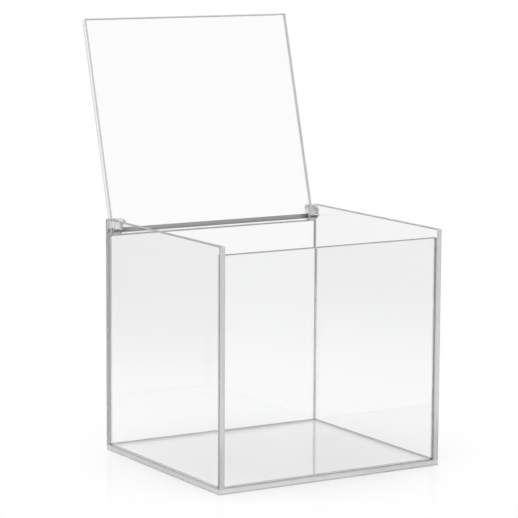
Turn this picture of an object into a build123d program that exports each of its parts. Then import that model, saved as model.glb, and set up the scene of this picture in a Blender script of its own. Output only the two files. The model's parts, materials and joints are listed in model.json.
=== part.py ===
from build123d import *
from math import cos, radians, sin
import os

# A clear keeper box with an open top, and a clear lid that swings on a steel rod at the rear.
# +X is to the right, the front faces -Y, and the origin is the centre of the base's underside.
# The lid is modelled thrown open, leaning back with its rear edge against the back wall's top edge.

# Box of bonded clear sheet, over its outside faces
box_width = 128.0
box_depth = 115.0
box_height = 120.0
base_thickness = 3.0
wall_thickness = 3.0
edge_bevel = 0.3
bond_line = 0.03

# Lid
lid_thickness = 4.0
lid_bevel = 0.5
lid_side_gap = 0.4
lid_front_reveal = 1.0
lid_seat_gap = 0.2
lid_open_degrees = 105.6

# Hinge: a rod through both side walls, which carries the lid's knuckles
rod_diameter = 2.5
rod_end_bevel = 0.3
rod_inset = 3.4
rod_drop = 1.7
rod_seat_gap = 0.02
rod_running_gap = 0.05
knuckle_width = 5.0
knuckle_wall = 1.1
knuckle_belly_radius = 2.7
knuckle_belly_reach = 2.7
knuckle_belly_drop = 1.7
knuckle_heel_radius = 1.2
knuckle_heel_reach = 5.0
knuckle_swing_gap = 0.3
stop_gap = 0.2

# The walls stand on the base, and the front and back walls fit between the side walls
wall_foot_z = base_thickness + bond_line
side_wall_x = (box_width - wall_thickness) / 2
cross_wall_y = (box_depth - wall_thickness) / 2
cross_wall_width = box_width - 2 * (wall_thickness + bond_line)

# Shut, the lid's top is level with the side walls and its front rests on the front wall
lid_width = box_width - 2 * (wall_thickness + lid_side_gap)
lid_underside_z = box_height - lid_thickness
front_wall_top_z = lid_underside_z - lid_seat_gap

# The knuckles turn close round the rod, and the back wall's top clears them
axis_y = box_depth / 2 - rod_inset
axis_z = lid_underside_z - rod_drop
knuckle_radius = rod_diameter / 2 + rod_running_gap + knuckle_wall
back_wall_top_z = axis_z - knuckle_radius - knuckle_swing_gap

# From the axis, the shut lid reaches forward to its front edge and back to its tail.
# The tail is as long as lets the open lid come to rest on the back wall's outer top edge.
lid_reach = box_depth - rod_inset - lid_front_reveal
stop_edge_y = rod_inset - edge_bevel
stop_edge_drop = axis_z - back_wall_top_z
open_angle = radians(lid_open_degrees)
lid_tail = stop_edge_drop * sin(open_angle) + stop_edge_y * cos(open_angle) - stop_gap

# The lid's own plane lies on the hinge axis: its y runs to the tail and its z to the lid's top
hinge_centre = (0, axis_y, axis_z)
lid_plane = Plane(origin=hinge_centre).rotated((-lid_open_degrees, 0, 0))

os.makedirs("parts", exist_ok=True)

# Base plate: a flat sheet that carries the walls. Here and below, bonded edges stay square
with BuildPart() as base_plate:
    with BuildSketch():
        Rectangle(box_width, box_depth)
    extrude(amount=base_thickness)
    bonded_edges = base_plate.edges().group_by(Axis.Z)[-1]
    chamfer(base_plate.edges() - bonded_edges, length=edge_bevel)
base_plate.part.label = "base_plate"
export_step(base_plate.part, "parts/base_plate.step")

# Side walls: full depth and full height, each drilled for the rod near its rear top corner
for side_name, side in (("left", -1), ("right", 1)):
    side_plane = Plane(origin=(side * side_wall_x, 0, wall_foot_z), x_dir=(0, 1, 0), z_dir=(1, 0, 0))
    with BuildPart() as side_wall:
        with BuildSketch(side_plane):
            Rectangle(box_depth, box_height - wall_foot_z, align=(Align.CENTER, Align.MIN))
            with Locations((axis_y, axis_z - wall_foot_z)):
                Circle(rod_diameter / 2 + rod_seat_gap, mode=Mode.SUBTRACT)
        extrude(amount=wall_thickness / 2, both=True)
        outer_face = side_wall.faces().sort_by(Axis((0, 0, 0), (side, 0, 0)))[-1]
        top_face = side_wall.faces().sort_by(Axis.Z)[-1]
        foot_face = side_wall.faces().sort_by(Axis.Z)[0]
        open_edges = (outer_face.edges().filter_by(GeomType.LINE) + top_face.edges()) - foot_face.edges()
        chamfer(open_edges, length=edge_bevel)
    side_wall.part.label = f"{side_name}_wall"
    export_step(side_wall.part, f"parts/{side_name}_wall.step")

# Front and back walls: the front one seats the shut lid, the lower back one clears the hinge
for end_name, end, top_z in (("front", -1, front_wall_top_z), ("back", 1, back_wall_top_z)):
    end_plane = Plane(origin=(0, end * cross_wall_y, wall_foot_z), x_dir=(1, 0, 0), z_dir=(0, -1, 0))
    with BuildPart() as cross_wall:
        with BuildSketch(end_plane):
            Rectangle(cross_wall_width, top_z - wall_foot_z, align=(Align.CENTER, Align.MIN))
        extrude(amount=wall_thickness / 2, both=True)
        chamfer(cross_wall.edges().filter_by(Axis.X).group_by(Axis.Z)[-1], length=edge_bevel)
    cross_wall.part.label = f"{end_name}_wall"
    export_step(cross_wall.part, f"parts/{end_name}_wall.step")

# Hinge rod: through both side walls, with its bevelled ends level with their outer faces
with BuildPart() as hinge_rod:
    with BuildSketch(Plane.YZ.offset(-box_width / 2)):
        with Locations((axis_y, axis_z)):
            Circle(rod_diameter / 2)
    extrude(amount=box_width)
    chamfer(hinge_rod.edges().filter_by(GeomType.CIRCLE), length=rod_end_bevel)
hinge_rod.part.label = "hinge_rod"
export_step(hinge_rod.part, "parts/hinge_rod.step")

# Lid panel: a thicker sheet that drops between the side walls
with BuildPart() as lid_panel:
    with BuildSketch(lid_plane.offset(rod_drop)):
        with Locations((0, (lid_tail - lid_reach) / 2)):
            Rectangle(lid_width, lid_reach + lid_tail)
    extrude(amount=lid_thickness)
    chamfer(lid_panel.edges(), length=lid_bevel)
lid_panel.part.label = "lid_panel"
export_step(lid_panel.part, "parts/lid_panel.step")

# Knuckles: rounded lugs that turn on the rod, cut flat where they are bonded under the lid.
# Each has a round nose about the rod, a belly below the lid and a heel along its bonded face.
bonded_height = rod_drop - bond_line
for side_name, side in (("left", -1), ("right", 1)):
    knuckle_x = side * (lid_width - knuckle_width) / 2
    knuckle_plane = Plane(origin=(knuckle_x, axis_y, axis_z), x_dir=lid_plane.y_dir, z_dir=(1, 0, 0))
    with BuildPart() as knuckle:
        with BuildSketch(knuckle_plane):
            Circle(knuckle_radius)
            with Locations((-knuckle_belly_reach, -knuckle_belly_drop)):
                Circle(knuckle_belly_radius)
            with Locations((-knuckle_heel_reach, bonded_height - knuckle_heel_radius)):
                Circle(knuckle_heel_radius)
            make_hull()
            with Locations((-knuckle_heel_reach / 2, bonded_height)):
                Rectangle(
                    knuckle_heel_reach + 2 * knuckle_radius,
                    knuckle_radius,
                    align=(Align.CENTER, Align.MIN),
                    mode=Mode.SUBTRACT,
                )
        extrude(amount=knuckle_width / 2, both=True)
        bonded_face = knuckle.faces().sort_by(Axis(hinge_centre, lid_plane.z_dir))[-1]
        rims = knuckle.faces().filter_by(Axis.X).edges()
        chamfer(rims - bonded_face.edges(), length=edge_bevel)
        with BuildSketch(knuckle_plane):
            Circle(rod_diameter / 2 + rod_running_gap)
        extrude(amount=knuckle_width / 2, both=True, mode=Mode.SUBTRACT)
    knuckle.part.label = f"{side_name}_knuckle"
    export_step(knuckle.part, f"parts/{side_name}_knuckle.step")
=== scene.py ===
"""Looks of a clear keeper box: bonded clear sheet, a lid on a steel hinge rod, and a pale studio."""

import json
import math

import bpy
from bpy.props import FloatProperty, FloatVectorProperty, IntProperty, PointerProperty
from mathutils import Matrix, Vector


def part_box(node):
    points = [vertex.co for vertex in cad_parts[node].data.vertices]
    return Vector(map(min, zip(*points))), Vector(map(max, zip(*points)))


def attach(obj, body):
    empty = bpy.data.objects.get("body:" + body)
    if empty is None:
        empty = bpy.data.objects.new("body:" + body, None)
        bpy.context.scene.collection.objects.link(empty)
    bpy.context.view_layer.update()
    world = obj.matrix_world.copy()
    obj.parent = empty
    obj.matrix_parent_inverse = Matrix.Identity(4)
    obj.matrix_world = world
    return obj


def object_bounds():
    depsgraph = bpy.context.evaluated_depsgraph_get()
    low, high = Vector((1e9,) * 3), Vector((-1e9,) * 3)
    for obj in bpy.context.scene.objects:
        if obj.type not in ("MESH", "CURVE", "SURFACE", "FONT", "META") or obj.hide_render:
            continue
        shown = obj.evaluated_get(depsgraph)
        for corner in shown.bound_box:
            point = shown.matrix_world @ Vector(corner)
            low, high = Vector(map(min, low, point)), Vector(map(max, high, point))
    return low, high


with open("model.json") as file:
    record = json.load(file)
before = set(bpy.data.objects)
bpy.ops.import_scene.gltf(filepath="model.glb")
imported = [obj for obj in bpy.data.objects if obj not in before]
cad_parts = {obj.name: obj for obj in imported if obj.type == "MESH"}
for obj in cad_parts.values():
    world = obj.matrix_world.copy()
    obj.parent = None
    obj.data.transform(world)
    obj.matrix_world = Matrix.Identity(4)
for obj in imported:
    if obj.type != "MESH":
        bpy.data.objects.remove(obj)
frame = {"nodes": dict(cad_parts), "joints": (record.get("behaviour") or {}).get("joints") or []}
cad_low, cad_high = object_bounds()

bl_info = {
    "name": "Clear keeper box",
    "version": (1, 0, 0),
    "blender": (4, 5, 0),
    "location": "View3D > Sidebar > Keeper",
    "description": "Finishes a clear box with a swinging lid and sets it on a pale studio floor",
    "category": "Object",
}

PHOTO_SIDE = 518
SENSOR = 36.0

SIDE_WALLS = ("left_wall", "right_wall")
CROSS_WALLS = ("front_wall", "back_wall")
KNUCKLES = ("left_knuckle", "right_knuckle")

HINGE = next(joint for joint in frame["joints"] if joint["name"] == "lid_hinge")
LID_OPEN = math.radians(max(HINGE["range_deg"]))
LEAN = Matrix.Rotation(-LID_OPEN, 3, "X")

RIGHT = Vector((1.0, 0.0, 0.0))
BACK = Vector((0.0, 1.0, 0.0))
UP = Vector((0.0, 0.0, 1.0))
BOTH_SIDES = Vector((2.0, 2.0, 2.0))
WHITE = (1.0, 1.0, 1.0)

# A surface's normal lies along its sheet's by 0 on a cut edge, about 0.7 on a bevel and 1 on a face.
CUT_TO_BEVEL = (0.3, 0.6)
BEVEL_TO_FACE = (0.8, 0.95)
# The painted dark lines at the rims of a cut edge start at these shares of the sheet's thickness from the
# edge's middle.
SHADED_RIM_SHARES = (0.24, 0.36)
# The polish at a sheet's foot gives way to frost between these distances from it.
POLISH_END = (0.001, 0.002)

# Hairline scratches, as turn, stretch, scale and width, and the patches and smears of a handled face.
SCRATCHES = ((0.4, 0.9, 0.3), (1.0, 1.0, 0.02), 900.0, 0.004)
CROSS_SCRATCHES = ((1.2, 0.2, 1.1), (0.02, 1.0, 1.0), 700.0, 0.003)
PATCH_SCALE = 25.0
PATCH_RISE = (0.5, 0.7)
SMEAR_SCALE = 18.0
SMEAR_DETAIL = 4.0
SMEAR_RISE = (0.45, 0.8)
SMEAR_GAIN = 2.0

# The cutter's marks: how far they are drawn out across an edge, and how they sway its finish.
CUT_DRAW = 0.95
CUT_DEPTH = 0.001
CUT_ROUGHENING = 0.05
CUT_SHADING = 0.02

# The grinding marks round the rod, and the clouds in its polish.
GRIND_DRAW = 0.06
GRIND_DEPTH = 0.02
GRIND_ROUGHENING = 0.25
CLOUD_SCALE = 120.0
STEEL_LIGHTNESS = 0.85
GRIND_LIGHTNESS = 0.15
CLOUD_LIGHTNESS = 0.1

# Set cement: the waves of its skin, and the haze of its films.
WAVE_SCALE = 300.0
WAVE_DETAIL = 3.0
WAVE_DEPTH = 0.00005
CEMENT_ROUGHNESS = 0.03
WAVE_ROUGHENING = 0.08
HAZE_SCALE = 400.0
HAZE_DETAIL = 4.0
HAZE_SHADING = 0.1
FILM_ROUGHNESS = 0.6

# The studio as clear sheet and steel mirror it, by height and by how far along the line of sight it lies.
BACKDROP_SOFTNESS = 0.08
BACKDROP_TOP = (0.3, 0.6)
BACKDROP_START = (-0.1, 0.2)
SOFT_BOX_END = (-0.3, 0.0)
SOFT_BOX_FOOT = (0.1, 0.25)
SOFT_BOX_TOP = (0.5, 0.7)
WHITE_FLOOR_REACH = 0.14
LAMP_OFFSET = Vector((-0.35, -0.3, 0.9))
CAMERA_RANGE = 50.0


class AcrylicLook(bpy.types.PropertyGroup):
    """Clear cast sheet, its lightly frosted cut edges and its hairline wear."""

    tint: FloatVectorProperty(
        name="Tint",
        description="Colour of light that has crossed one sheet",
        subtype="COLOR",
        size=3,
        min=0.0,
        max=1.0,
        default=(0.985, 0.988, 0.988),
    )
    edge_colour: FloatVectorProperty(
        name="Edge colour",
        description="Colour that light takes on along a sheet",
        subtype="COLOR",
        size=3,
        min=0.0,
        max=1.0,
        default=(0.62, 0.61, 0.6),
    )
    absorption: FloatProperty(
        name="Absorption",
        description="How strongly a metre of sheet takes on the edge colour",
        min=0.0,
        default=5.0,
    )
    refraction: FloatProperty(
        name="Refraction",
        description="Refractive index of the sheet",
        min=1.0,
        default=1.49,
    )
    face_roughness: FloatProperty(
        name="Face roughness",
        description="Roughness of a clean sheet face",
        subtype="FACTOR",
        min=0.0,
        max=1.0,
        default=0.004,
    )
    bevel_roughness: FloatProperty(
        name="Bevel roughness",
        description="Roughness of the scraped bevels along the edges",
        subtype="FACTOR",
        min=0.0,
        max=1.0,
        default=0.4,
    )
    frost_roughness: FloatProperty(
        name="Frost roughness",
        description="Roughness of a frosted edge or bevel",
        subtype="FACTOR",
        min=0.0,
        max=1.0,
        default=0.85,
    )
    # Painted shade: the walls' top edges are painted darker than their upright ones.
    top_painted_shade: FloatProperty(
        name="Top loss",
        description="How much darker the walls' top edges are than their upright ones",
        subtype="FACTOR",
        min=0.0,
        max=1.0,
        default=0.45,
    )
    bevel_haze: FloatProperty(
        name="Bevel haze",
        description="How far a scraped bevel is frosted",
        subtype="FACTOR",
        min=0.0,
        max=1.0,
        default=0.5,
    )
    # Painted shade: a frosted bevel is painted dark, so it shows as a dark line along the edge.
    painted_bevel_shade: FloatProperty(
        name="Bevel shade",
        description="Lightness of a frosted bevel",
        subtype="FACTOR",
        min=0.0,
        max=1.0,
        default=0.3,
    )
    # In each edge setting below, the last entry, the rim loss, is painted shade: how much the edge's colour
    # darkens towards its sheet's faces.
    side_edge: FloatVectorProperty(
        name="Side edge",
        description="Lightness, haze, passage of light, roughness and rim loss of the side walls' edges",
        size=5,
        min=0.0,
        max=1.0,
        default=(0.97, 0.42, 0.3, 0.28, 0.1),
    )
    # Painted shade: the cross walls' edges, their tops among them, get a low lightness, darker than the other
    # sheets' edges of the same acrylic.
    cross_edge: FloatVectorProperty(
        name="Cross edge",
        description="Lightness, haze, passage of light, roughness and rim loss of the cross walls' edges",
        size=5,
        min=0.0,
        max=1.0,
        default=(0.36, 0.6, 0.5, 0.28, 0.5),
    )
    base_edge: FloatVectorProperty(
        name="Base edge",
        description="Lightness, haze, passage of light, roughness and rim loss of the base's edges",
        size=5,
        min=0.0,
        max=1.0,
        default=(0.97, 0.55, 0.2, 0.28, 0.3),
    )
    lid_edge: FloatVectorProperty(
        name="Lid edge",
        description="Lightness, haze, passage of light, roughness and rim loss of the lid's edges",
        size=5,
        min=0.0,
        max=1.0,
        default=(1.0, 0.85, 0.2, 0.28, 0.75),
    )
    knuckle_edge: FloatVectorProperty(
        name="Knuckle edge",
        description="Lightness, haze, passage of light, roughness and rim loss of the knuckles' edges",
        size=5,
        min=0.0,
        max=1.0,
        default=(0.97, 0.06, 0.85, 0.02, 0.5),
    )
    scratch_roughness: FloatProperty(
        name="Scratch roughness",
        description="Roughness along a hairline scratch",
        subtype="FACTOR",
        min=0.0,
        max=1.0,
        default=0.1,
    )
    cut_pitch: FloatProperty(
        name="Cut pitch",
        description="Spacing of the fine marks that the cutter leaves across an edge",
        subtype="DISTANCE",
        unit="LENGTH",
        min=1e-5,
        default=0.0005,
    )


class SteelLook(bpy.types.PropertyGroup):
    """Ground steel of the hinge rod."""

    colour: FloatVectorProperty(
        name="Colour",
        description="Colour of the steel",
        subtype="COLOR",
        size=3,
        min=0.0,
        max=1.0,
        default=(0.58, 0.58, 0.58),
    )
    roughness: FloatProperty(
        name="Roughness",
        description="Roughness of the ground surface",
        subtype="FACTOR",
        min=0.0,
        max=1.0,
        default=0.6,
    )
    # Painted shade: the rod's colour is darkened where it turns in the knuckles and a short way out from them,
    # where the knuckles shade it.
    painted_knuckle_shade: FloatProperty(
        name="Grime",
        description="How much the steel is darkened where it turns in the knuckles",
        subtype="FACTOR",
        min=0.0,
        max=1.0,
        default=0.55,
    )
    painted_knuckle_shade_reach: FloatProperty(
        name="Grime reach",
        description="How far the darkening reaches along the rod from the knuckles",
        subtype="DISTANCE",
        unit="LENGTH",
        min=0.0,
        default=0.007,
    )
    grind_pitch: FloatProperty(
        name="Grind pitch",
        description="Spacing of the grinding marks along the rod",
        subtype="DISTANCE",
        unit="LENGTH",
        min=1e-5,
        default=0.00025,
    )


class CementLook(bpy.types.PropertyGroup):
    """Cement of the bonded seams: a hazy film between the sheets and a small clear fillet beside it."""

    film_colour: FloatVectorProperty(
        name="Film colour",
        description="Colour of the hazy film in a seam",
        subtype="COLOR",
        size=3,
        min=0.0,
        max=1.0,
        default=(0.92, 0.92, 0.91),
    )
    film_opacity: FloatProperty(
        name="Film opacity",
        description="How much each face of the film covers",
        subtype="FACTOR",
        min=0.0,
        max=1.0,
        default=0.5,
    )
    knuckle_film_opacity: FloatProperty(
        name="Knuckle film opacity",
        description="How much each face of the thinner film on the knuckles covers",
        subtype="FACTOR",
        min=0.0,
        max=1.0,
        default=0.1,
    )
    film_bite: FloatProperty(
        name="Film bite",
        description="How far the film has eaten into each sheet",
        subtype="DISTANCE",
        unit="LENGTH",
        min=0.0,
        default=0.00002,
    )
    film_margin: FloatProperty(
        name="Film margin",
        description="How far the film stays inside the edges of a seam",
        subtype="DISTANCE",
        unit="LENGTH",
        min=0.0,
        default=0.00003,
    )
    leg: FloatProperty(
        name="Leg",
        description="How far a fillet of cement reaches along each sheet",
        subtype="DISTANCE",
        unit="LENGTH",
        min=1e-5,
        default=0.0007,
    )
    gap: FloatProperty(
        name="Gap",
        description="Space between the fillet and the sheets",
        subtype="DISTANCE",
        unit="LENGTH",
        min=0.0,
        default=0.00002,
    )
    throat_share: FloatProperty(
        name="Throat share",
        description="How far the hollow of the fillet stands from the corner, as a share of its leg",
        subtype="FACTOR",
        min=0.1,
        max=0.5,
        default=0.36,
    )


class StageLook(bpy.types.PropertyGroup):
    """Floor, surround, lamp and camera."""

    floor_side: FloatProperty(
        name="Floor side",
        description="Length of the floor's sides",
        subtype="DISTANCE",
        unit="LENGTH",
        min=0.1,
        default=0.9,
    )
    floor_gap: FloatProperty(
        name="Floor gap",
        description="Space between the floor and the underside of the box",
        subtype="DISTANCE",
        unit="LENGTH",
        min=0.0,
        default=0.0003,
    )
    floor_colour: FloatVectorProperty(
        name="Floor colour",
        description="Colour of the pale floor",
        subtype="COLOR",
        size=3,
        min=0.0,
        max=1.0,
        default=(0.94, 0.94, 0.94),
    )
    floor_roughness: FloatProperty(
        name="Floor roughness",
        description="Roughness of the floor's gloss",
        subtype="FACTOR",
        min=0.0,
        max=1.0,
        default=0.07,
    )
    floor_refraction: FloatProperty(
        name="Floor refraction",
        description="Refractive index of the floor's gloss",
        min=1.0,
        default=1.3,
    )
    floor_shade: FloatProperty(
        name="Floor shade",
        description="Share of the box's shade that the floor shows under the middle of the box",
        subtype="FACTOR",
        min=0.0,
        max=1.0,
        default=0.6,
    )
    fade_start: FloatProperty(
        name="Fade start",
        description="Distance from the middle of the box at which the floor starts to fade to white",
        subtype="DISTANCE",
        unit="LENGTH",
        min=0.0,
        default=0.02,
    )
    fade_end: FloatProperty(
        name="Fade end",
        description="Distance from the middle of the box at which the floor is white",
        subtype="DISTANCE",
        unit="LENGTH",
        min=0.0,
        default=0.16,
    )
    ambient: FloatProperty(
        name="Ambient",
        description="Strength of the light from all around",
        min=0.0,
        default=1.0,
    )
    fill: FloatProperty(
        name="Fill",
        description="Brightness of the studio beside the backdrop, as clear sheet and steel mirror it",
        min=0.0,
        default=0.45,
    )
    soft_box: FloatProperty(
        name="Soft box",
        description="Brightness of the soft box behind the camera, as clear sheet and steel mirror it",
        min=0.0,
        default=0.85,
    )
    backdrop_reach: FloatProperty(
        name="Backdrop reach",
        description="How far the white backdrop reaches to each side of the line of sight",
        subtype="ANGLE",
        unit="ROTATION",
        default=math.radians(31.0),
    )
    key_power: FloatProperty(
        name="Key power",
        description="Power of the large soft lamp",
        subtype="POWER",
        min=0.0,
        default=2.5,
    )
    key_side: FloatProperty(
        name="Key side",
        description="Length of the soft lamp's sides",
        subtype="DISTANCE",
        unit="LENGTH",
        min=0.01,
        default=0.9,
    )
    light_bounces: IntProperty(
        name="Light bounces",
        description="How often light may turn inside the clear sheets",
        min=1,
        default=64,
    )
    view_turn: FloatProperty(
        name="View turn",
        description="How far the camera stands round to the left of the front",
        subtype="ANGLE",
        unit="ROTATION",
        default=math.radians(31.28),
    )
    view_dip: FloatProperty(
        name="View dip",
        description="How far the camera looks down",
        subtype="ANGLE",
        unit="ROTATION",
        default=math.radians(8.483),
    )
    view_roll: FloatProperty(
        name="View roll",
        description="How far the camera is tilted about its own line of sight",
        subtype="ANGLE",
        unit="ROTATION",
        default=math.radians(0.3),
    )
    view_distance: FloatProperty(
        name="View distance",
        description="Distance from the camera to the middle of the box",
        subtype="DISTANCE",
        unit="LENGTH",
        min=0.01,
        default=1.2768,
    )
    view_slide: FloatVectorProperty(
        name="View slide",
        description="Where the middle of the box lies, to the right of and above the line of sight",
        subtype="XYZ",
        unit="LENGTH",
        size=2,
        default=(0.00608, -0.04168),
    )
    focal_pixels: FloatProperty(
        name="Focal length in pixels",
        description="Focal length in pixels of the square picture",
        min=1.0,
        default=2519.7,
    )


class KeeperLook(bpy.types.PropertyGroup):
    """All settings of the keeper box."""

    acrylic: PointerProperty(type=AcrylicLook)
    steel: PointerProperty(type=SteelLook)
    cement: PointerProperty(type=CementLook)
    stage: PointerProperty(type=StageLook)


class Sock:
    """A node's output that takes part in Python sums: each operator adds a Math node."""

    def __init__(self, tree, socket):
        self.tree = tree
        self.socket = socket

    def _math(self, operation, *values):
        return self.tree.node("ShaderNodeMath", *values, settings={"operation": operation})

    def __add__(self, other):
        return self._math("ADD", self, other)

    def __radd__(self, other):
        return self._math("ADD", other, self)

    def __sub__(self, other):
        return self._math("SUBTRACT", self, other)

    def __rsub__(self, other):
        return self._math("SUBTRACT", other, self)

    def __mul__(self, other):
        return self._math("MULTIPLY", self, other)

    def __rmul__(self, other):
        return self._math("MULTIPLY", other, self)

    def __abs__(self):
        return self._math("ABSOLUTE", self)

    def smooth(self, low, high):
        """0 below low and 1 above high, with a smooth rise between."""
        settings = {"interpolation_type": "SMOOTHSTEP"}
        return self.tree.node("ShaderNodeMapRange", self, low, high, 0.0, 1.0, settings=settings)


class Tree:
    """Adds nodes to one node tree."""

    def __init__(self, node_tree):
        self.nodes = node_tree.nodes
        self.links = node_tree.links
        self.nodes.clear()

    def node(self, kind, *values, out=0, settings=None, **named):
        """Adds a node, sets it up, feeds its inputs in order or by name, and returns one output."""
        made = self.nodes.new(kind)
        for key, value in (settings or {}).items():
            setattr(made, key, value)
        for key, value in [*enumerate(values), *named.items()]:
            place = key if isinstance(key, int) else key.replace("_", " ")
            self.feed(made.inputs[place], value)
        return Sock(self, made.outputs[out]) if made.outputs else made

    def feed(self, socket, value):
        """Links a socket to a Sock, or sets its own value."""
        if isinstance(value, Sock):
            self.links.new(value.socket, socket)
        else:
            socket.default_value = value

    def vector(self, operation, *values, out=0, **named):
        """A Vector Math node."""
        settings = {"operation": operation}
        return self.node("ShaderNodeVectorMath", *values, out=out, settings=settings, **named)

    def noise(self, place, scale, detail=2.0):
        """A value from 0 to 1 that varies in space."""
        return self.node("ShaderNodeTexNoise", Vector=place, Scale=scale, Detail=detail)

    def dot(self, vector, direction):
        """How far a vector reaches along a direction."""
        return self.vector("DOT_PRODUCT", vector, direction, out="Value")

    def shaded(self, colour, lightness):
        """A colour made lighter or darker."""
        return self.vector("SCALE", tuple(colour), Scale=lightness)

    def bump(self, height, distance):
        return self.node("ShaderNodeBump", Distance=distance, Height=height)

    def mirrored(self):
        """1 for a ray that has come off a gloss, 0 for one that has only come through clear sheets."""
        return self.node("ShaderNodeLightPath", out="Glossy Depth").smooth(0.0, 1.0)

    def principled(self, **named):
        return self.node("ShaderNodeBsdfPrincipled", **named)


class ShapeTree(Tree):
    """A Geometry Nodes tree with named lengths as inputs."""

    def __init__(self, name):
        self.group = bpy.data.node_groups.new(name, "GeometryNodeTree")
        super().__init__(self.group)
        for way in ("OUTPUT", "INPUT"):
            self.group.interface.new_socket("Geometry", in_out=way, socket_type="NodeSocketGeometry")
        self.entry = self.nodes.new("NodeGroupInput")
        self.given = {}

    def points(self):
        return Sock(self, self.entry.outputs["Geometry"])

    def size(self, name, value):
        """Adds a named length input and notes the value that it is given."""
        made = self.group.interface.new_socket(name, in_out="INPUT", socket_type="NodeSocketFloat")
        self.given[made.identifier] = value
        return Sock(self, self.entry.outputs[name])

    def stored(self, name):
        """A vector that is stored on each point."""
        return self.node("GeometryNodeInputNamedAttribute", name, settings={"data_type": "FLOAT_VECTOR"})


def new_material(name):
    material = bpy.data.materials.new(name)
    material.use_nodes = True
    return material, Tree(material.node_tree)


def look():
    """The settings that the panel shows."""
    return bpy.context.scene.keeper


def rgba(colour):
    """A colour with full alpha, as colour sockets take it."""
    return (*colour, 1.0)


def swayed(value, spread):
    """A factor that sways about 1 by a spread, as a value runs from 0 to 1."""
    return (1 - spread) + 2 * spread * value


def dress(node, material):
    """Puts a material on a CAD node's own slot."""
    for slot in frame["nodes"][node].material_slots:
        slot.material = material


def hairlines(tree, place, turn, stretch, scale, width):
    """Sparse thin lines that run one way, where a noise crosses its middle: 1 on a line and 0 beside it."""
    turned = tree.node("ShaderNodeMapping", Vector=place, Rotation=turn, Scale=stretch)
    value = tree.noise(turned, scale, 1.0)
    return 1 - abs(value - 0.5).smooth(0.0, width)


def reach_along(node, direction):
    """How far a CAD node's corners lie from the origin along a direction, at least and at most."""
    piece = frame["nodes"][node]
    reaches = [abs((piece.matrix_world @ vertex.co).dot(direction)) for vertex in piece.data.vertices]
    return min(reaches), max(reaches)


def clear_sheet(name, nodes, face_normal, edge, polished_foot=None):
    """Clear cast sheet: clean faces with hairline wear, and frosted edges with fine marks from the cutter.

    Painted shade: an edge's colour darkens towards the two faces of its sheet, so it shows as two thin dark
    lines, the top edge of an upright sheet is painted darker than its other edges, and a frosted bevel is
    painted dark. The foot of a sheet is polished where a direction along the sheet, away from its foot, is
    given.
    """
    acrylic = look().acrylic
    edge_shade, edge_haze, edge_passage, edge_roughness, rim_painted_shade = edge
    near, far = reach_along(nodes[0], face_normal)
    material, tree = new_material(name)
    coordinate = tree.node("ShaderNodeTexCoord", out="Object")
    normal = tree.node("ShaderNodeTexCoord", out="Normal")
    facing = abs(tree.dot(normal, face_normal))
    cut = 1 - facing.smooth(*CUT_TO_BEVEL)
    bevel = facing.smooth(*CUT_TO_BEVEL) - facing.smooth(*BEVEL_TO_FACE)
    if polished_foot is not None:
        foot = reach_along(nodes[0], polished_foot)[0]
        rough = tree.dot(coordinate, polished_foot).smooth(*(foot + reach for reach in POLISH_END))
        cut, bevel = cut * rough, bevel * rough

    scratches = hairlines(tree, coordinate, *SCRATCHES) + hairlines(tree, coordinate, *CROSS_SCRATCHES)
    worn = scratches * tree.noise(coordinate, PATCH_SCALE).smooth(*PATCH_RISE)
    smears = tree.noise(coordinate, SMEAR_SCALE, SMEAR_DETAIL).smooth(*SMEAR_RISE)

    across = tree.dot(coordinate, face_normal)
    lift = tree.vector("SCALE", face_normal, Scale=across * CUT_DRAW)
    flattened = tree.vector("SUBTRACT", coordinate, lift)
    marks = tree.noise(flattened, 1.0 / acrylic.cut_pitch)
    # Painted shade: rim marks where an edge's colour darkens next to its sheet's faces, drawing two dark
    # lines.
    rim = abs(abs(across) - (near + far) / 2).smooth(*(share * (far - near) for share in SHADED_RIM_SHARES))

    roughness = (
        acrylic.face_roughness * (1 + SMEAR_GAIN * smears)
        + worn * acrylic.scratch_roughness
        + cut * edge_roughness * swayed(marks, CUT_ROUGHENING)
        + bevel * acrylic.bevel_roughness
    )
    clear = tree.principled(
        Base_Color=rgba(acrylic.tint),
        Roughness=roughness,
        IOR=acrylic.refraction,
        Transmission_Weight=1.0,
    )
    # Painted shade: the cut edge's colour darkens towards its rims.
    cut_shade = edge_shade * (1 - rim * rim_painted_shade) * swayed(marks, CUT_SHADING)
    # Painted shade: the top edge of an upright sheet is painted darker.
    upright = face_normal[2] == 0.0
    if upright:
        upward = abs(tree.dot(normal, UP))
        cut_shade = cut_shade * (1 - upward.smooth(*BEVEL_TO_FACE) * acrylic.top_painted_shade)
    # Painted shade: the frosted colour carries the painted dark rims, tops and bevels.
    frosted = tree.principled(
        Base_Color=tree.shaded(acrylic.tint, cut * cut_shade + bevel * acrylic.painted_bevel_shade),
        Roughness=acrylic.frost_roughness,
        IOR=acrylic.refraction,
        Transmission_Weight=edge_passage,
        Normal=tree.bump(cut * marks, acrylic.cut_pitch * CUT_DEPTH),
    )
    share = cut * edge_haze + bevel * acrylic.bevel_haze
    surface = tree.node("ShaderNodeMixShader", share, clear, frosted)
    body = tree.node("ShaderNodeVolumeAbsorption", rgba(acrylic.edge_colour), acrylic.absorption)
    tree.node("ShaderNodeOutputMaterial", Surface=surface, Volume=body)
    for node in nodes:
        dress(node, material)


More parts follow.
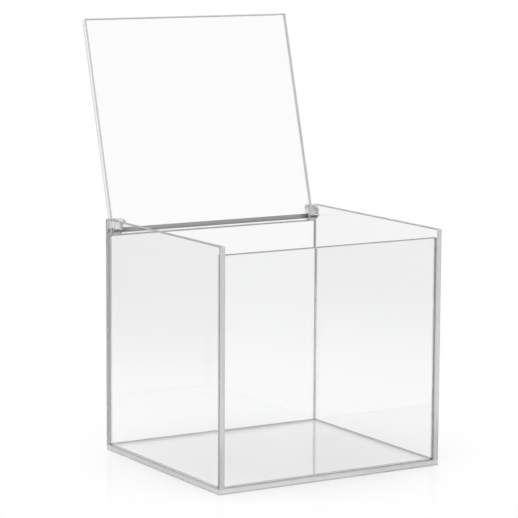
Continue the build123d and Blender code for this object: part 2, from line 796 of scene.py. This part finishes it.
def ground_steel(name):
    """Ground steel: fine marks round the rod, a slightly uneven polish, and painted shade towards the
    knuckles, where they shade the rod.
    """
    steel = look().steel
    material, tree = new_material(name)
    coordinate = tree.node("ShaderNodeTexCoord", out="Object")
    drawn = tree.node("ShaderNodeMapping", Vector=coordinate, Scale=(1.0, GRIND_DRAW, GRIND_DRAW))
    marks = tree.noise(drawn, 1.0 / steel.grind_pitch)
    clouds = tree.noise(coordinate, CLOUD_SCALE)
    knuckle_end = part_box(KNUCKLES[1])[0].x
    offset = tree.node("ShaderNodeSeparateXYZ", coordinate, out="X")
    # Painted shade: the rod's colour darkens towards and inside the knuckles.
    painted_knuckle_shade = abs(offset).smooth(knuckle_end - steel.painted_knuckle_shade_reach, knuckle_end) * steel.painted_knuckle_shade
    lightness = (STEEL_LIGHTNESS + marks * GRIND_LIGHTNESS + clouds * CLOUD_LIGHTNESS) * (1 - painted_knuckle_shade)
    surface = tree.principled(
        Base_Color=tree.shaded(steel.colour, lightness),
        Metallic=1.0,
        Roughness=steel.roughness * swayed(marks, GRIND_ROUGHENING),
        Normal=tree.bump(marks, steel.grind_pitch * GRIND_DEPTH),
    )
    tree.node("ShaderNodeOutputMaterial", Surface=surface)
    return material


def clear_cement(name):
    """Set cement: clear, with a slightly wavy skin."""
    acrylic = look().acrylic
    material, tree = new_material(name)
    coordinate = tree.node("ShaderNodeTexCoord", out="Object")
    waves = tree.noise(coordinate, WAVE_SCALE, WAVE_DETAIL)
    surface = tree.principled(
        Base_Color=rgba(acrylic.tint),
        Roughness=CEMENT_ROUGHNESS + WAVE_ROUGHENING * waves,
        IOR=acrylic.refraction,
        Transmission_Weight=1.0,
        Normal=tree.bump(waves, WAVE_DEPTH),
    )
    tree.node("ShaderNodeOutputMaterial", Surface=surface)
    return material


def hazy_film(name, opacity):
    """Film of cement in a seam: hazy over the sanded edge that it holds."""
    cement = look().cement
    material, tree = new_material(name)
    coordinate = tree.node("ShaderNodeTexCoord", out="Object")
    haze = tree.noise(coordinate, HAZE_SCALE, HAZE_DETAIL)
    colour = tree.shaded(cement.film_colour, swayed(haze, HAZE_SHADING))
    surface = tree.principled(Base_Color=colour, Roughness=FILM_ROUGHNESS, Alpha=opacity)
    tree.node("ShaderNodeOutputMaterial", Surface=surface)
    return material


def scatter(name, shape, places, material, body):
    """One mesh with a copy of a shape at each place. A place is a point, a turn and a stretch."""
    mesh = bpy.data.meshes.new(name + "_places")
    points, turns, stretches = zip(*places)
    mesh.from_pydata([tuple(point) for point in points], [], [])
    for label, vectors in (("turn", turns), ("stretch", stretches)):
        attribute = mesh.attributes.new(label, "FLOAT_VECTOR", "POINT")
        for entry, vector in zip(attribute.data, vectors):
            entry.vector = vector

    tree = ShapeTree(name)
    copies = tree.node(
        "GeometryNodeInstanceOnPoints",
        Points=tree.points(),
        Instance=shape(tree),
        Rotation=tree.stored("turn"),
        Scale=tree.stored("stretch"),
    )
    real = tree.node("GeometryNodeRealizeInstances", copies)
    finished = tree.node("GeometryNodeSetMaterial", Geometry=real, Material=material)
    tree.node("NodeGroupOutput", Geometry=finished)

    holder = bpy.data.objects.new(name + "_places", mesh)
    bpy.context.scene.collection.objects.link(holder)
    modifier = holder.modifiers.new("shape", "NODES")
    modifier.node_group = tree.group
    for identifier, value in tree.given.items():
        modifier[identifier] = value
    graph = bpy.context.evaluated_depsgraph_get()
    solid = bpy.data.meshes.new_from_object(holder.evaluated_get(graph))
    bpy.data.objects.remove(holder)
    piece = bpy.data.objects.new(name, solid)
    bpy.context.scene.collection.objects.link(piece)
    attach(piece, body)


def unit_plate(tree):
    """A block with sides of 1, which each place stretches to a thin plate."""
    return tree.node("GeometryNodeMeshCube")


def unit_fillet(tree):
    """A hollow fillet with a length of 1: its legs run along +X and +Y from the corner line."""
    cement = look().cement
    leg = tree.size("Leg", cement.leg)
    gap = tree.size("Gap", cement.gap)
    throat = tree.size("Throat", cement.leg * cement.throat_share)

    def corner(x, y):
        return tree.node("ShaderNodeCombineXYZ", X=x, Y=y)

    outline = tree.node(
        "GeometryNodeCurvePrimitiveQuadrilateral",
        settings={"mode": "POINTS"},
        Point_1=corner(gap, gap),
        Point_2=corner(leg, gap),
        Point_3=corner(throat, throat),
        Point_4=corner(gap, leg),
    )
    run = tree.node("GeometryNodeCurvePrimitiveLine", Start=(0.0, 0.0, 0.0), End=(0.0, 0.0, 1.0))
    return tree.node("GeometryNodeCurveToMesh", Curve=run, Profile_Curve=outline, Fill_Caps=True)


def seam_films():
    """Places of the films between the ends of the cross walls and the side walls."""
    cement = look().cement
    left_face, right_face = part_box("left_wall")[1].x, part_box("right_wall")[0].x
    places = []
    for wall in CROSS_WALLS:
        low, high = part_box(wall)
        for end, face in ((low.x, left_face), (high.x, right_face)):
            middle = (low + high) / 2
            middle.x = (end + face) / 2
            span = high - low - BOTH_SIDES * cement.film_margin
            span.x = abs(end - face) + 2 * cement.film_bite
            places.append((middle, (0.0, 0.0, 0.0), span))
    return places


def knuckle_films():
    """Places of the films between the lid and the flats of its knuckles."""
    cement = look().cement

    def corners(node):
        """A CAD node's corners in the shut lid's own directions."""
        piece = frame["nodes"][node]
        return [LEAN.transposed() @ (piece.matrix_world @ vertex.co) for vertex in piece.data.vertices]

    underside = min(corner.z for corner in corners("lid_panel"))
    places = []
    for node in KNUCKLES:
        top = max(corner.z for corner in corners(node))
        flat = [corner for corner in corners(node) if top - corner.z < cement.film_bite]
        low = Vector([min(values) for values in zip(*flat)])
        high = Vector([max(values) for values in zip(*flat)])
        middle = (low + high) / 2
        middle.z = (top + underside) / 2
        span = high - low - BOTH_SIDES * cement.film_margin
        span.z = underside - top + 2 * cement.film_bite
        places.append((LEAN @ middle, LEAN.to_euler(), span))
    return places


def seam_fillets():
    """Places of the fillets along the inside corners, from the two legs that meet at each."""
    inside_low = Vector((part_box("left_wall")[1].x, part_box("front_wall")[1].y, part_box("base_plate")[1].z))
    inside_high = Vector((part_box("right_wall")[0].x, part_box("back_wall")[0].y, 0.0))
    front_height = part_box("front_wall")[1].z - inside_low.z
    back_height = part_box("back_wall")[1].z - inside_low.z
    width, depth = inside_high.x - inside_low.x, inside_high.y - inside_low.y
    places = []

    def add(start, first, second, length):
        """Adds a fillet with legs along two directions, which runs along their cross product."""
        turn = Matrix((first, second, first.cross(second))).transposed().to_euler()
        places.append((start, turn, (1.0, 1.0, length)))

    left_front = inside_low
    right_front = inside_low + RIGHT * width
    left_back = inside_low + BACK * depth
    right_back = right_front + BACK * depth
    add(left_front, RIGHT, BACK, front_height)
    add(right_front, BACK, -RIGHT, front_height)
    add(right_back, -RIGHT, -BACK, back_height)
    add(left_back, -BACK, RIGHT, back_height)
    add(left_front, UP, RIGHT, depth)
    add(right_front, -RIGHT, UP, depth)
    add(left_front, BACK, UP, width)
    add(left_back, UP, -BACK, width)
    return places


def sight_lines():
    """Level directions to the right of the line of sight and along it."""
    turn = look().stage.view_turn
    return Vector((math.cos(turn), -math.sin(turn), 0.0)), Vector((math.sin(turn), math.cos(turn), 0.0))


def lay_floor():
    """A pale floor that keeps a soft shade under the box and turns white around it."""
    stage = look().stage
    half = stage.floor_side / 2
    level = cad_low.z - stage.floor_gap
    mesh = bpy.data.meshes.new("studio_floor")
    corners = [(-half, -half, level), (half, -half, level), (half, half, level), (-half, half, level)]
    mesh.from_pydata(corners, [], [(0, 1, 2, 3)])
    floor = bpy.data.objects.new("studio_floor", mesh)
    bpy.context.scene.collection.objects.link(floor)

    material, tree = new_material("pale_floor")
    coordinate = tree.node("ShaderNodeTexCoord", out="Object")
    away = tree.vector("LENGTH", coordinate, out="Value")
    lit = tree.principled(
        Base_Color=rgba(stage.floor_colour),
        Roughness=stage.floor_roughness,
        IOR=stage.floor_refraction,
    )
    mirrored = tree.mirrored()
    sideways = sight_lines()[0]
    aside = abs(tree.dot(coordinate, sideways)).smooth(WHITE_FLOOR_REACH, half)
    glow = 1 - mirrored * aside * (1 - stage.fill)
    white = tree.node("ShaderNodeEmission", tree.shaded(WHITE, glow))
    shade = (1 - away.smooth(stage.fade_start, stage.fade_end)) * stage.floor_shade
    faded = tree.node("ShaderNodeMixShader", shade, white, lit)
    tree.node("ShaderNodeOutputMaterial", Surface=faded)
    mesh.materials.append(material)


def wrap_surround():
    """White to look at, also through the clear sheets, and even as a light.

    What mirrors it sees a white backdrop behind the box, a soft box behind the camera and grey beside them.
    """
    stage = look().stage
    world = bpy.data.worlds.new("studio")
    bpy.context.scene.world = world
    world.use_nodes = True
    tree = Tree(world.node_tree)
    mirrored = tree.mirrored()
    scattered = tree.node("ShaderNodeLightPath", out="Diffuse Depth").smooth(0.0, 1.0)
    direction = tree.node("ShaderNodeTexCoord", out="Generated")
    height = tree.node("ShaderNodeSeparateXYZ", direction, out="Z")
    sideways, onward = sight_lines()
    aside = abs(tree.dot(direction, sideways))
    behind = tree.dot(direction, onward)
    rim = math.sin(stage.backdrop_reach)
    backdrop = 1 - aside.smooth(rim - BACKDROP_SOFTNESS, rim + BACKDROP_SOFTNESS)
    backdrop = backdrop * (1 - height.smooth(*BACKDROP_TOP)) * behind.smooth(*BACKDROP_START)
    soft_box = (1 - behind.smooth(*SOFT_BOX_END)) * height.smooth(*SOFT_BOX_FOOT)
    soft_box = soft_box * (1 - height.smooth(*SOFT_BOX_TOP))
    studio = stage.fill + backdrop * (1 - stage.fill) + soft_box * (stage.soft_box - stage.fill)
    seen = 1 - mirrored * (1 - studio)
    bright = seen + scattered * (stage.ambient - seen)
    sky = tree.node("ShaderNodeBackground", tree.shaded(WHITE, bright))
    tree.node("ShaderNodeOutputWorld", Surface=sky)


def hang_lamp():
    """A large soft lamp above and in front of the box, to its left."""
    stage = look().stage
    lamp = bpy.data.lights.new("soft_lamp", "AREA")
    lamp.energy = stage.key_power
    lamp.size = stage.key_side
    holder = bpy.data.objects.new("soft_lamp", lamp)
    bpy.context.scene.collection.objects.link(holder)
    middle = (cad_low + cad_high) / 2
    place = middle + LAMP_OFFSET
    facing = (middle - place).to_track_quat("-Z", "Y").to_matrix().to_4x4()
    holder.matrix_world = Matrix.Translation(place) @ facing


def place_camera():
    """A camera at the photograph's viewing angle, held by the middle of the box."""
    stage = look().stage
    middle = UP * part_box("left_wall")[1].z / 2
    dip, roll = stage.view_dip, stage.view_roll
    level, onward = sight_lines()
    ahead = onward * math.cos(dip) - UP * math.sin(dip)
    upright = level.cross(ahead)
    right = level * math.cos(roll) + upright * math.sin(roll)
    up = upright * math.cos(roll) - level * math.sin(roll)
    place = middle - ahead * stage.view_distance - right * stage.view_slide[0] - up * stage.view_slide[1]
    camera = bpy.data.cameras.new("camera")
    camera.sensor_width = SENSOR
    camera.lens = stage.focal_pixels / PHOTO_SIDE * SENSOR
    camera.clip_end = CAMERA_RANGE
    holder = bpy.data.objects.new("camera", camera)
    bpy.context.scene.collection.objects.link(holder)
    holder.matrix_world = Matrix.Translation(place) @ Matrix((right, up, -ahead)).transposed().to_4x4()
    bpy.context.scene.camera = holder


class KEEPER_OT_box_sheets(bpy.types.Operator):
    """Finishes the base and the walls as clear sheet with lightly frosted edges"""

    bl_idname = "keeper.box_sheets"
    bl_label = "Base and walls"

    def execute(self, context):
        acrylic = look().acrylic
        clear_sheet("clear_side_sheet", SIDE_WALLS, RIGHT, acrylic.side_edge)
        clear_sheet("clear_cross_sheet", CROSS_WALLS, BACK, acrylic.cross_edge)
        clear_sheet("clear_base_sheet", ("base_plate",), UP, acrylic.base_edge)
        return {"FINISHED"}


class KEEPER_OT_lid(bpy.types.Operator):
    """Finishes the lid as clear sheet with frosted edges and a polished foot, and its clear knuckles"""

    bl_idname = "keeper.lid"
    bl_label = "Lid and knuckles"

    def execute(self, context):
        acrylic = look().acrylic
        clear_sheet("clear_lid_sheet", ("lid_panel",), LEAN @ UP, acrylic.lid_edge, LEAN @ -BACK)
        clear_sheet("clear_knuckle", KNUCKLES, RIGHT, acrylic.knuckle_edge)
        return {"FINISHED"}


class KEEPER_OT_hinge_rod(bpy.types.Operator):
    """Finishes the hinge rod as ground steel"""

    bl_idname = "keeper.hinge_rod"
    bl_label = "Hinge rod"

    def execute(self, context):
        dress("hinge_rod", ground_steel("ground_steel"))
        return {"FINISHED"}


class KEEPER_OT_cement(bpy.types.Operator):
    """Lays the cement of the bonded seams: films between the sheets and fillets in the inside corners"""

    bl_idname = "keeper.cement"
    bl_label = "Cement"

    def execute(self, context):
        cement = look().cement
        seam_film = hazy_film("seam_film", cement.film_opacity)
        knuckle_film = hazy_film("knuckle_film", cement.knuckle_film_opacity)
        scatter("seam_films", unit_plate, seam_films(), seam_film, "box")
        scatter("knuckle_films", unit_plate, knuckle_films(), knuckle_film, "lid")
        scatter("seam_fillets", unit_fillet, seam_fillets(), clear_cement("clear_cement"), "box")
        return {"FINISHED"}


class KEEPER_OT_stage(bpy.types.Operator):
    """Lays the pale floor, lights it softly and sets up the camera"""

    bl_idname = "keeper.stage"
    bl_label = "Studio"

    def execute(self, context):
        lay_floor()
        wrap_surround()
        hang_lamp()
        place_camera()
        context.scene.view_settings.view_transform = "Standard"
        paths = context.scene.cycles
        bounces = look().stage.light_bounces
        paths.max_bounces = bounces
        paths.glossy_bounces = bounces
        paths.transmission_bounces = bounces
        return {"FINISHED"}


STEPS = (KEEPER_OT_box_sheets, KEEPER_OT_lid, KEEPER_OT_hinge_rod, KEEPER_OT_cement, KEEPER_OT_stage)


class KEEPER_PT_panel(bpy.types.Panel):
    """Lists the keeper box's pieces and their settings"""

    bl_idname = "KEEPER_PT_panel"
    bl_label = "Clear keeper box"
    bl_space_type = "VIEW_3D"
    bl_region_type = "UI"
    bl_category = "Keeper"

    def draw(self, context):
        for step in STEPS:
            self.layout.operator(step.bl_idname)
        for group in (look().acrylic, look().steel, look().cement, look().stage):
            column = self.layout.column(align=True)
            for name in group.bl_rna.properties.keys():
                if name not in ("rna_type", "name"):
                    column.prop(group, name)


CLASSES = (AcrylicLook, SteelLook, CementLook, StageLook, KeeperLook, *STEPS, KEEPER_PT_panel)


def register():
    for made in CLASSES:
        bpy.utils.register_class(made)
    bpy.types.Scene.keeper = PointerProperty(type=KeeperLook)


def unregister():
    del bpy.types.Scene.keeper
    for made in reversed(CLASSES):
        bpy.utils.unregister_class(made)


def main():
    register()
    bpy.ops.keeper.box_sheets()
    bpy.ops.keeper.lid()
    bpy.ops.keeper.hinge_rod()
    bpy.ops.keeper.cement()
    bpy.ops.keeper.stage()


if __name__ == "__main__":
    main()
